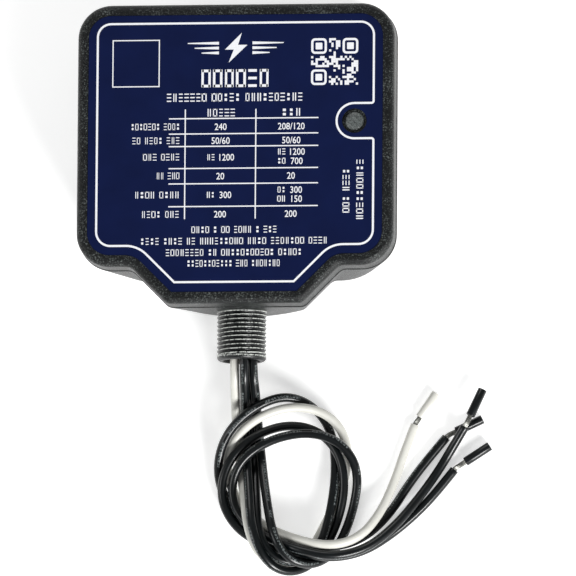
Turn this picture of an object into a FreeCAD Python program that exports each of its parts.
import FreeCAD, Part
import math
import os
from collections import namedtuple

V = FreeCAD.Vector

# Hard-wired surge protector, lying on its back.
# +Z points out of the front face, the conduit nipple points along -Y and +X is to the right.
# The origin is the centre of the case's back face. Everything is in millimetres.

# ---------------------------------------------------------------------- case
case_width = 136.0
case_length = 129.0          # top edge to neck edge
case_depth = 52.0
cover_depth = 13.0           # the front cover's share of the depth
shoulder_height = 16.0       # from the neck edge up to the shoulders
neck_width = 57.8            # the neck's straight edge, between the two 45 degree flanks
corner_radius = 14.5
shoulder_radius = 5.0        # hollow corner between flank and shoulder
neck_corner_radius = 4.0
front_edge_radius = 3.0
parting_bevel = 0.4          # small bevel on both rims, which shows as the dark parting line
parting_lip = 0.3            # the rear housing's rim stands out by this much beyond the cover
wall = 2.8
floor_thickness = 3.0

# The rear housing tapers towards its back.
side_draft = 4.0             # sides and top come in by this much
neck_edge_draft = 3.5        # the back's neck edge at its ends
neck_side_draft = 3.9        # half the loss in neck width
neck_bow_angle = 13.0        # slope, in degrees, at the ends of the bowed neck edge
back_lower_radius = 24.0     # fuller lower corners at the back
back_neck_radius = 4.0
back_bevel = 2.8

# ------------------------------------------------------------- label, window
label_margin = 4.7           # cover's edge to the label recess
recess_depth = 0.45
label_thickness = 0.25
label_clearance = 0.15       # all round in its recess
label_neck_radius = 0.8
window_from_side = 16.9
window_from_top = 51.1
window_hole_radius = 5.3
window_ledge_depth = 0.8
lens_radius = 4.2
lens_clearance = 0.1
lens_flange = 1.3
lens_flange_thickness = 1.2
lens_set_back = 0.3          # the lens's crown below the recess floor

# -------------------------------------------------------------------- nipple
nipple_radius = 10.67        # half-inch trade size
nipple_length = 21.0         # outside the case
nipple_bore_radius = 7.9
nipple_height = 20.0         # its axis above the back face
nipple_hole_clearance = 0.1
nipple_flange_rim = 2.53     # the flange stands this far outside the thread
nipple_flange_thickness = 2.5
nipple_end_bevel = 1.2
thread_pitch = 25.4 / 14
thread_depth = 1.0
shank_relief = 0.2           # the plain shank is this much smaller than the thread
shank_length = 1.3           # outside the case
crest_lead_in = 0.3
boss_thickness = 8.0         # from the neck edge in to the flange's flat seat
boss_width = 34.0

# --------------------------------------------------------------------- leads
lead_radius = 1.95           # 12 gauge stranded, thick PVC insulation
strand_radius = 1.15
slug_length = 12.5
slug_clearance = 0.1
strip_length = 12.5
seal_recess = 6.5            # the seal's outer face inside the nipple's mouth
lead_straight = 11.0         # from the seal to the route's first turn
arc_share = 0.45             # of the shorter run that meets at a point of the route
strand_bend_radius = 5.0     # where the bare strands turn beside the cut insulation

# ------------------------------------------------------------- circuit board
board_height = 12.0          # the board's underside above the back face
board_thickness = 1.6
board_side_gap = 5.0         # to the pocket's walls
board_top_gap = 13.5
board_neck_gap = 15.5        # from the shoulders' inner face
standoff_radius = 3.6
board_screw_inset = 6.0
board_screw_radius = 1.5
board_screw_length = 8.0
board_hole_clearance = 0.2
screw_head_radius = 2.9
screw_head_height = 2.0

varistor_radius = 10.0
varistor_thickness = 6.0
varistor_columns = 3
varistor_rows = 2
varistor_pitch_x = 24.0
varistor_pitch_y = 22.0
varistor_block = (-12.0, 7.0)
varistor_leg_height = 3.0
varistor_leg_radius = 0.4
varistor_leg_spacing = 7.5
fuse_radius = 1.7
fuse_length = 9.0
fuse_offset = 7.0
capacitor_size = (18.0, 8.0, 14.0)
capacitor_offset = 24.8      # from the varistors' middle row line
resistor_radius = 2.0
resistor_length = 12.0
diode_radius = 1.4
diode_length = 5.5
small_part_pitch = 7.0
small_part_shift = -0.75     # resistors and diodes, off the middle of their gap
terminal_size = (6.0, 8.0, 7.0)
terminal_pitch = 10.0
terminal_inset = 2.0
led_radius = 2.5
led_length = 8.0
led_gap = 1.2                # LED crown to the lens's flange
spacer_radius = 3.6

# -------------------------------------------------------------- cover screws
column_radius = 5.0
column_inset = 10.0          # from the back's sides and top
column_lower_inset = (13.0, 13.0)
well_radius = 3.6
cover_screw_radius = 1.75
cover_screw_clearance = 0.25
cover_screw_length = 22.0    # under the head
cover_screw_bite = 7.0       # the length that holds in the cover's boss
screw_hole_spare = 1.0       # hole beyond a screw's tip
cover_screw_head = (3.2, 2.4)
cover_boss_radius = 4.5

# -------------------------------------------------------------------- gasket
gasket_width = 1.3
gasket_depth = 1.0

# Derived places that several pieces share
parting = case_depth - cover_depth
half_width = case_width / 2
top_edge = case_length / 2
neck_edge = -case_length / 2
window = V(half_width - window_from_side, top_edge - window_from_top, 0)
nipple_mouth = neck_edge - nipple_length
nipple_flange_radius = nipple_radius + nipple_flange_rim
boss_face = neck_edge + boss_thickness
recess_floor = case_depth - recess_depth
plate_inside = case_depth - wall
board_top = board_height + board_thickness
seal_face = nipple_mouth + seal_recess
varistors_right = varistor_block[0] + varistor_pitch_x * (varistor_columns - 1) / 2 + varistor_radius
small_part_x = (varistors_right + window.x - spacer_radius) / 2 + small_part_shift
screw_tip = parting + cover_screw_bite
well_depth = screw_tip - cover_screw_length

# Where each lead leaves the seal: X and height above the nipple's axis
lead_exits = {
    "white": (-3.0, 0.5),
    "black_1": (1.5, 4.0),
    "black_2": (2.5, -2.0),
    "black_3": (5.0, 1.5),
}

# The leads' routes after their straight start: down to the bench, round one loose overhand
# knot that all four tie together, and out to the right.
# Each point is X, distance out from the seal's face, height above the bench.
ROUTES = {
    "white": [
        (-3.5, 20.5, 12), (-4, 31.5, 3.5), (-2.5, 45, 2.5), (0, 62, 8), (2.5, 79, 12.5),
        (7.5, 89.5, 8.5), (17.5, 93, 4), (27.5, 88, 2), (36.5, 71, 2), (44, 53, 2),
        (44, 37.5, 3), (35.5, 27, 7), (20.5, 24.5, 11.5), (5, 30, 12.5), (-6, 40, 8),
        (-8.5, 53, 2), (-2.5, 66, 2), (8.5, 76, 6), (23, 82.5, 13), (38.5, 86, 15.5),
        (51, 81.5, 12), (59, 70, 6), (64.5, 56, 2), (68.5, 43.5, 2), (73, 32, 2),
    ],
    "black_1": [
        (1, 21, 15.5), (0, 30, 6), (0.5, 43, 4.5), (2.5, 60.5, 11.5), (4.5, 79.5, 18),
        (10.5, 92.5, 14.5), (19, 96.5, 7.5), (29, 92.5, 2), (38, 79.5, 2), (43.5, 62, 6),
        (42, 46, 8), (32.5, 35, 7.5), (18.5, 32, 8.5), (3.5, 37.5, 10), (-7.5, 49, 9.5),
        (-10.5, 63.5, 7), (-4, 76.5, 4), (9.5, 84.5, 5.5), (24.5, 88, 11), (39, 90.5, 11),
        (52, 87, 6), (63.5, 79, 2), (74, 70, 2), (82.5, 61, 2), (90, 51.5, 2),
    ],
    "black_2": [
        (2, 20.5, 9.5), (2.5, 30.5, 2), (4, 45.5, 2), (5.5, 63.5, 9.5), (7, 81, 14),
        (13.5, 90.5, 11), (23.5, 92, 7), (32.5, 86, 5.5), (37.5, 70, 7), (39.5, 50.5, 4.5),
        (37, 33.5, 2), (28.5, 23, 4.5), (17.5, 20, 11.5), (5, 25.5, 16), (-6.5, 35.5, 13.5),
        (-12, 48.5, 6.5), (-10, 62, 2), (-1, 74, 2), (12.5, 81.5, 3.5), (28, 84.5, 10),
        (42, 85.5, 10.5), (53.5, 80, 5.5), (63, 69.5, 2), (70.5, 57.5, 2), (78.5, 47, 2),
        (86.5, 37.5, 2),
    ],
    "black_3": [
        (5.5, 20.5, 13.5), (5.5, 30, 5.5), (7, 44.5, 5), (10, 63.5, 12.5), (14, 82.5, 18.5),
        (20.5, 91.5, 15), (30, 93.5, 8.5), (39.5, 86.5, 2), (46.5, 70, 2), (49.5, 52.5, 6),
        (43, 41, 11), (29.5, 36, 13.5), (12, 39, 13), (-1.5, 48, 11.5), (-6, 60.5, 8),
        (-2, 72.5, 6), (9.5, 81, 8.5), (23.5, 87, 15.5), (39, 90.5, 15.5), (53.5, 86.5, 11),
        (65.5, 76, 7), (75, 64, 4.5), (82.5, 53, 2), (89, 42.5, 3), (95, 33.5, 7.5),
    ],
}

# Bare strands at each lead's end: heading and slope in degrees, and the length that shows
lead_ends = {
    "white": (56.0, 0.0, 3.8),
    "black_1": (33.0, 0.0, 5.8),
    "black_2": (25.0, 0.0, 4.9),
    "black_3": (66.0, -6.5, 5.2),
}


# ------------------------------------------------------------------ outlines
Outline = namedtuple("Outline", "side top shoulder bottom neck upper_r lower_r shoulder_r neck_r bow")

front = Outline(
    side=half_width,
    top=top_edge,
    shoulder=neck_edge + shoulder_height,
    bottom=neck_edge,
    neck=neck_width / 2,
    upper_r=corner_radius,
    lower_r=corner_radius,
    shoulder_r=shoulder_radius,
    neck_r=neck_corner_radius,
    bow=0.0,
)
back = Outline(
    side=half_width - side_draft,
    top=top_edge - side_draft,
    shoulder=neck_edge + shoulder_height,
    bottom=neck_edge + neck_edge_draft,
    neck=neck_width / 2 - neck_side_draft,
    upper_r=corner_radius,
    lower_r=back_lower_radius,
    shoulder_r=shoulder_radius,
    neck_r=back_neck_radius,
    bow=neck_bow_angle,
)


def inset(outline, distance):
    """The outline moved in by a distance on every side."""
    return Outline(
        side=outline.side - distance,
        top=outline.top - distance,
        shoulder=outline.shoulder + distance,
        bottom=outline.bottom + distance,
        neck=outline.neck - distance * math.tan(math.radians(22.5)),
        upper_r=max(outline.upper_r - distance, 0.5),
        lower_r=max(outline.lower_r - distance, 0.5),
        shoulder_r=outline.shoulder_r + distance,
        neck_r=max(outline.neck_r - distance, 0.5),
        bow=outline.bow,
    )


def housing_outline(height):
    """The rear housing's outer outline at a height, between its back and the parting line."""
    share = (height - back_bevel) / (parting - back_bevel)
    return Outline(*[a + (b - a) * share for a, b in zip(back, front)])


def outline_wire(outline, height):
    """A closed wire: straight sides joined by tangent arcs, anticlockwise from the neck edge."""
    bow = math.radians(outline.bow)
    flank = outline.shoulder - outline.bottom
    slant = math.sqrt(0.5)
    hip = outline.neck + flank
    shoulder_room = outline.side - hip - outline.shoulder_r * math.tan(math.pi / 8)
    lower_r = min(outline.lower_r, 0.95 * shoulder_room)
    corners = [
        ((outline.neck, outline.bottom), (math.cos(bow), math.sin(bow)), (slant, slant), outline.neck_r),
        ((hip, outline.shoulder), (slant, slant), (1, 0), outline.shoulder_r),
        ((outline.side, outline.shoulder), (1, 0), (0, 1), lower_r),
        ((outline.side, outline.top), (0, 1), (-1, 0), outline.upper_r),
        ((-outline.side, outline.top), (-1, 0), (0, -1), outline.upper_r),
        ((-outline.side, outline.shoulder), (0, -1), (1, 0), lower_r),
        ((-hip, outline.shoulder), (1, 0), (slant, -slant), outline.shoulder_r),
        ((-outline.neck, outline.bottom), (slant, -slant), (math.cos(bow), -math.sin(bow)), outline.neck_r),
    ]
    arcs = [rounded_corner(V(*p, height), V(*a, 0), V(*b, 0), r) for p, a, b, r in corners]
    edges = []
    for arc, following in zip(arcs, arcs[1:]):
        edges.append(Part.Arc(*arc).toShape())
        edges.append(Part.LineSegment(arc[2], following[0]).toShape())
    edges.append(Part.Arc(*arcs[-1]).toShape())
    edges.append(neck_edge_piece(arcs[-1][2], arcs[0][0], bow))
    return Part.Wire(edges)


def rounded_corner(point, arriving, leaving, radius):
    """Start, middle and end of the tangent arc at a corner."""
    half_turn = arriving.getAngle(leaving) / 2
    reach = radius * math.tan(half_turn)
    inward = (leaving - arriving).normalize()
    middle = point + inward * (radius / math.cos(half_turn) - radius)
    return point - arriving * reach, middle, point + leaving * reach


def neck_edge_piece(start, end, bow):
    """The neck edge: straight on the cover, an arc at the back."""
    if bow < 1e-6:
        return Part.LineSegment(start, end).toShape()
    middle = (start + end) / 2
    middle.y -= (end - start).Length / 2 * math.tan(bow / 2)
    return Part.Arc(start, middle, end).toShape()


def between(sections):
    """A solid ruled between outlines: a list of (outline, height)."""
    return Part.makeLoft([outline_wire(o, z) for o, z in sections], True, True)


# ----------------------------------------------------------- simple solids
def box(low, high):
    size = high - low
    return Part.makeBox(size.x, size.y, size.z, low)


def rod(start, end, radius):
    return Part.makeCylinder(radius, (end - start).Length, start, end - start)


def upright(place, bottom, top, radius):
    return rod(V(place.x, place.y, bottom), V(place.x, place.y, top), radius)


def save(name, *solids):
    """Write one node; identical pieces share a node as separate solids."""
    shape = solids[0] if len(solids) == 1 else Part.makeCompound(solids)
    if not shape.isValid() or any(s.Volume <= 0 for s in shape.Solids):
        raise ValueError(name + " is not a sound solid")
    if len(shape.Solids) != len(solids):
        raise ValueError(name + " has come apart")
    shape.exportStep(os.path.join("parts", name + ".step"))


# -------------------------------------------------------------- tubes
def bend(before, point, after, reach):
    """Centre, axis, turn and ends of the arc that rounds a route's point."""
    arriving = (point - before).normalize()
    leaving = (after - point).normalize()
    turn = arriving.getAngle(leaving)
    radius = reach / math.tan(turn / 2)
    centre = point + (leaving - arriving).normalize() * (radius / math.cos(turn / 2))
    axis = arriving.cross(leaving).normalize()
    return point - arriving * reach, point + leaving * reach, centre, axis, math.degrees(turn), radius


def run_on(faces, ring, step):
    """Carry the ring along a straight step, adding the wall it leaves behind."""
    if step.Length < 1e-6:
        return ring
    faces.append(ring.extrude(step))
    return ring.translated(step)


def tube(points, radius, reaches=None):
    """A round solid along straight runs joined by tangent arcs; returns it, its length and radii."""
    runs = [(b - a).Length for a, b in zip(points, points[1:])]
    if reaches is None:
        reaches = [arc_share * min(pair) for pair in zip(runs, runs[1:])]
    ring = Part.Circle(points[0], points[1] - points[0], radius).toShape()
    faces = [Part.Face(Part.Wire([ring]))]
    here = points[0]
    length = 0.0
    radii = []
    for i, reach in enumerate(reaches):
        start, end, centre, axis, degrees, arc_radius = bend(points[i], points[i + 1], points[i + 2], reach)
        ring = run_on(faces, ring, start - here)
        faces.append(ring.revolve(centre, axis, degrees))
        ring = ring.rotated(centre, axis, degrees)
        length += (start - here).Length + arc_radius * math.radians(degrees)
        radii.append(arc_radius)
        here = end
    ring = run_on(faces, ring, points[-1] - here)
    length += (points[-1] - here).Length
    faces.append(Part.Face(Part.Wire([ring])))
    shell = Part.makeShell(faces)
    shell.sewShape()
    solid = Part.makeSolid(shell)
    if solid.Volume < 0:
        solid.reverse()
    return solid, length, radii


# -------------------------------------------------------------------- pieces
def column_places():
    """Centres of the four screw columns, which are the cover bosses' centres too."""
    x, y = back.side - column_inset, back.top - column_inset
    low_x, low_y = back.side - column_lower_inset[0], back.shoulder + column_lower_inset[1]
    return [V(x, y, 0), V(-x, y, 0), V(-low_x, low_y, 0), V(low_x, low_y, 0)]


def board_edges():
    """Low and high corners of the circuit board's outline."""
    pocket = inset(housing_outline(board_height), wall)
    low = V(-pocket.side + board_side_gap, pocket.shoulder + board_neck_gap, board_height)
    high = V(pocket.side - board_side_gap, pocket.top - board_top_gap, board_top)
    return low, high


def board_screw_places():
    low, high = board_edges()
    x = (low.x + board_screw_inset, high.x - board_screw_inset)
    y = (low.y + board_screw_inset, high.y - board_screw_inset)
    return [V(a, b, 0) for a in x for b in y]


def make_front_cover():
    skin = between([
        (inset(front, parting_bevel), parting),
        (front, parting + parting_bevel),
        (front, case_depth),
    ])
    rim = [e for e in skin.Edges if all(abs(v.Z - case_depth) < 1e-6 for v in e.Vertexes)]
    skin = skin.makeFillet(front_edge_radius, rim)
    cover = skin.cut(between([(inset(front, wall), parting), (inset(front, wall), plate_inside)]))
    for place in column_places():
        cover = cover.fuse(upright(place, parting, plate_inside + wall / 2, cover_boss_radius))
    cover = cover.cut(between([(label_outline(0), recess_floor), (label_outline(0), case_depth)]))
    for place in column_places():
        cover = cover.cut(upright(place, parting, screw_tip + screw_hole_spare, cover_screw_radius))
    ledge = recess_floor - window_ledge_depth
    cover = cover.cut(upright(window, ledge, case_depth, window_hole_radius))
    cover = cover.cut(upright(window, parting, case_depth, lens_radius + lens_clearance))
    save("front_cover", cover.removeSplitter())


def label_outline(clearance):
    shape = inset(front, label_margin + clearance)
    return shape._replace(neck_r=label_neck_radius)


def make_rear_housing():
    outer = between([
        (front, parting),
        (inset(front, -parting_lip), parting - parting_bevel),
        (back, back_bevel),
        (inset(back, back_bevel), 0),
    ])
    pocket = between([
        (inset(front, wall), parting),
        (inset(housing_outline(floor_thickness), wall), floor_thickness),
    ])
    boss = box(
        V(-boss_width / 2, neck_edge - wall, 0),
        V(boss_width / 2, boss_face, nipple_height + nipple_flange_radius + 1),
    )
    housing = outer.cut(pocket).fuse(outer.common(boss))
    for place in column_places():
        housing = housing.fuse(upright(place, floor_thickness / 2, parting, column_radius))
    for place in board_screw_places():
        housing = housing.fuse(upright(place, floor_thickness / 2, board_height, standoff_radius))
    for place in column_places():
        housing = housing.cut(upright(place, 0, well_depth, well_radius))
        housing = housing.cut(upright(place, 0, parting, cover_screw_radius + cover_screw_clearance))
    for place in board_screw_places():
        bottom = board_top - board_screw_length - screw_hole_spare
        housing = housing.cut(upright(place, bottom, board_height, board_screw_radius))
    hole = nipple_radius + nipple_hole_clearance
    housing = housing.cut(rod(nipple_axis(nipple_mouth), nipple_axis(boss_face), hole))
    housing = housing.cut(gasket_ring())
    save("rear_housing", housing.removeSplitter())


def gasket_ring():
    """The seal between the rims, in a groove along the middle of the wall."""
    margin = (wall - gasket_width) / 2
    bottom = parting - gasket_depth
    outer = between([(inset(front, margin), bottom), (inset(front, margin), parting)])
    inner_outline = inset(front, margin + gasket_width)
    return outer.cut(between([(inner_outline, bottom), (inner_outline, parting)]))


def nipple_axis(y):
    return V(0, y, nipple_height)


def make_nipple():
    """Threaded conduit nipple with a flange inside the case."""
    inside = boss_face + nipple_flange_thickness
    shank_end = neck_edge - shank_length
    first = shank_end - crest_lead_in
    profile = [
        (nipple_bore_radius, inside),
        (nipple_flange_radius, inside),
        (nipple_flange_radius, boss_face),
        (nipple_radius - shank_relief, boss_face),
        (nipple_radius - shank_relief, shank_end),
        (nipple_radius, shank_end),
    ]
    turns = int((first - nipple_mouth - nipple_end_bevel) / thread_pitch)
    for turn in range(turns):
        top = first - turn * thread_pitch
        profile += [
            (nipple_radius, top),
            (nipple_radius - thread_depth, top - 0.35 * thread_pitch),
            (nipple_radius - thread_depth, top - 0.45 * thread_pitch),
            (nipple_radius, top - 0.8 * thread_pitch),
        ]
    profile += [
        (nipple_radius, nipple_mouth + nipple_end_bevel),
        (nipple_radius - nipple_end_bevel, nipple_mouth),
        (nipple_bore_radius, nipple_mouth),
    ]
    points = [V(r, y, nipple_height) for r, y in profile]
    face = Part.Face(Part.makePolygon(points + points[:1]))
    save("conduit_nipple", face.revolve(nipple_axis(0), V(0, 1, 0), 360))


def make_label():
    sheet = between([(label_outline(label_clearance), recess_floor),
                     (label_outline(label_clearance), recess_floor + label_thickness)])
    save("face_label", sheet.cut(upright(window, 0, case_depth, window_hole_radius)))


def make_lens():
    crown = recess_floor - lens_set_back
    body = upright(window, plate_inside, crown, lens_radius)
    rim = [e for e in body.Edges if len(e.Vertexes) == 1 and abs(e.Vertexes[0].Z - crown) < 1e-6]
    body = body.makeFillet(0.5, rim)
    flange = upright(window, plate_inside - lens_flange_thickness, plate_inside, lens_radius + lens_flange)
    save("status_lens", body.fuse(flange))


def make_cover_screws():
    head_radius, head_height = cover_screw_head
    screws = []
    for place in column_places():
        head = upright(place, well_depth - head_height, well_depth, head_radius)
        rim = [e for e in head.Edges if e.BoundBox.ZMax < well_depth - head_height + 0.01]
        head = head.makeChamfer(0.5, rim)
        shank = upright(place, well_depth, screw_tip, cover_screw_radius)
        screws.append(head.fuse(shank))
    save("cover_screws", *screws)


def make_board():
    low, high = board_edges()
    board = box(low, high)
    for place in board_screw_places():
        board = board.cut(upright(place, board_height, board_top, board_screw_radius + board_hole_clearance))
    save("circuit_board", board)
    screws = []
    for place in board_screw_places():
        head = upright(place, board_top, board_top + screw_head_height, screw_head_radius)
        shank = upright(place, board_top - board_screw_length, board_top, board_screw_radius)
        screws.append(head.fuse(shank))
    save("board_screws", *screws)


def varistor_places():
    left = varistor_block[0] - varistor_pitch_x * (varistor_columns - 1) / 2
    low = varistor_block[1] - varistor_pitch_y * (varistor_rows - 1) / 2
    return [
        V(left + column * varistor_pitch_x, low + row * varistor_pitch_y, 0)
        for row in range(varistor_rows)
        for column in range(varistor_columns)
    ]


def make_varistors():
    half = V(0, varistor_thickness / 2, 0)
    fuses = []
    for number, place in enumerate(varistor_places(), 1):
        middle = place + V(0, 0, board_top + varistor_leg_height + varistor_radius)
        disc = rod(middle - half, middle + half, varistor_radius)
        disc = disc.makeFillet(1.2, [e for e in disc.Edges if len(e.Vertexes) == 1])
        for side in (-1, 1):
            leg = place + V(side * varistor_leg_spacing / 2, side * varistor_thickness / 6, 0)
            disc = disc.fuse(upright(leg, board_top, middle.z - varistor_radius / 2, varistor_leg_radius))
        save("varistor_%d" % number, disc)
        centre = place + V(0, fuse_offset, board_top + fuse_radius)
        fuses.append(lying_body(centre, fuse_length, fuse_radius))
    save("thermal_fuses", *fuses)


def lying_body(centre, length, radius):
    """A small round component lying on the board along X."""
    half = V(length / 2, 0, 0)
    return rod(centre - half, centre + half, radius)


def make_small_parts():
    wide, deep, tall = capacitor_size
    capacitors = []
    for place in varistor_places()[:varistor_columns]:
        y = varistor_block[1] + capacitor_offset
        corner = V(place.x - wide / 2, y - deep / 2, board_top)
        block = box(corner, corner + V(wide, deep, tall))
        above_board = [e for e in block.Edges if e.BoundBox.ZMin > board_top + 0.01]
        capacitors.append(block.makeFillet(0.8, above_board))
    save("film_capacitors", *capacitors)
    resistors = []
    diodes = []
    for step in range(3):
        away = (step + 1) * small_part_pitch
        place = V(small_part_x, varistor_block[1] - away, board_top + resistor_radius)
        resistors.append(lying_body(place, resistor_length, resistor_radius))
        place = V(small_part_x, varistor_block[1] + away, board_top + diode_radius)
        diodes.append(lying_body(place, diode_length, diode_radius))
    save("dropping_resistors", *resistors)
    save("rectifier_diodes", *diodes)


def make_status_light():
    """An LED held up under the lens by a plastic spacer."""
    lens_bottom = plate_inside - lens_flange_thickness
    crown = lens_bottom - led_gap
    seat = crown - led_length
    save("led_spacer", upright(window, board_top, seat, spacer_radius))
    body = upright(window, seat, crown - led_radius, led_radius)
    dome = Part.makeSphere(led_radius, V(window.x, window.y, crown - led_radius))
    rim = upright(window, seat, seat + 1.0, led_radius + 0.4)
    save("status_led", body.fuse([dome, rim]).removeSplitter())


def make_gasket():
    save("lid_gasket", gasket_ring())


def terminal_places():
    low, high = board_edges()
    order = ["white", "black_2", "black_1", "black_3"]
    y = low.y + terminal_inset
    return {name: V((i - 1.5) * terminal_pitch, y, board_top) for i, name in enumerate(order)}


def make_wiring():
    """Seal in the nipple, lead tails inside the case and their terminals on the board."""
    wide, deep, tall = terminal_size
    inner_end = boss_face + nipple_flange_thickness
    seal = rod(nipple_axis(seal_face), nipple_axis(inner_end), nipple_bore_radius)
    tails = []
    blocks = []
    for name, place in terminal_places().items():
        start = lead_start(name)
        inside = V(start.x, inner_end, start.z)
        seal = seal.cut(rod(start, inside, lead_radius))
        height = board_top + tall / 2
        turn_in = place.y - inner_end
        route = [
            start,
            inside + V(0, turn_in * 0.3, 0),
            V(place.x, inner_end + turn_in * 0.65, height),
            V(place.x, place.y, height),
        ]
        tails.append(tube(route, lead_radius)[0])
        blocks.append(box(place + V(-wide / 2, 0, 0), place + V(wide / 2, deep, tall)))
    save("lead_seal", seal)
    save("lead_tails", *tails)
    save("wire_terminals", *blocks)


def lead_start(name):
    x, rise = lead_exits[name]
    return nipple_axis(seal_face) + V(x, 0, rise)


def lead_route(name):
    """All the points of a lead's route outside the seal."""
    start = lead_start(name)
    rest = [V(x, seal_face - out, z) for x, out, z in ROUTES[name]]
    return [start, start - V(0, lead_straight, 0)] + rest


def make_leads():
    for name in lead_exits:
        points = lead_route(name)
        lead, length, radii = tube(points, lead_radius)
        if abs(lead.Volume / (math.pi * lead_radius ** 2 * length) - 1) > 0.005:
            raise ValueError("lead_%s does not enclose its own length" % name)
        print("lead_%s: %.1f mm long, bend radii from %.1f mm" % (name, length, min(radii)))
        save("lead_" + name, lead)
        strand, slug = lead_end(name, points[-2], points[-1])
        save("strand_" + name, strand)
        save("slug_" + name, slug)


def lead_end(name, before, end):
    """The bare strands, which turn a little, and the cut insulation still threaded on them."""
    heading, slope, shown = lead_ends[name]
    heading, slope = math.radians(heading), math.radians(slope)
    arriving = (end - before).normalize()
    leaving = V(math.cos(heading) * math.cos(slope), math.sin(heading) * math.cos(slope), math.sin(slope))
    turn = arriving.getAngle(leaving)
    reach = strand_bend_radius * math.tan(turn / 2)
    corner = end + arriving * reach
    past_arc = reach - strand_bend_radius * turn
    tip = corner + leaving * (past_arc + strip_length)
    near = corner + leaving * (past_arc + shown)
    far = near + leaving * slug_length
    strand = tube([end, corner, tip], strand_radius, [reach])[0]
    slug = rod(near, far, lead_radius).cut(rod(near, far, strand_radius + slug_clearance))
    return strand, slug


os.makedirs("parts", exist_ok=True)
make_front_cover()
make_rear_housing()
make_gasket()
make_nipple()
make_label()
make_lens()
make_cover_screws()
make_board()
make_varistors()
make_small_parts()
make_status_light()
make_wiring()
make_leads()
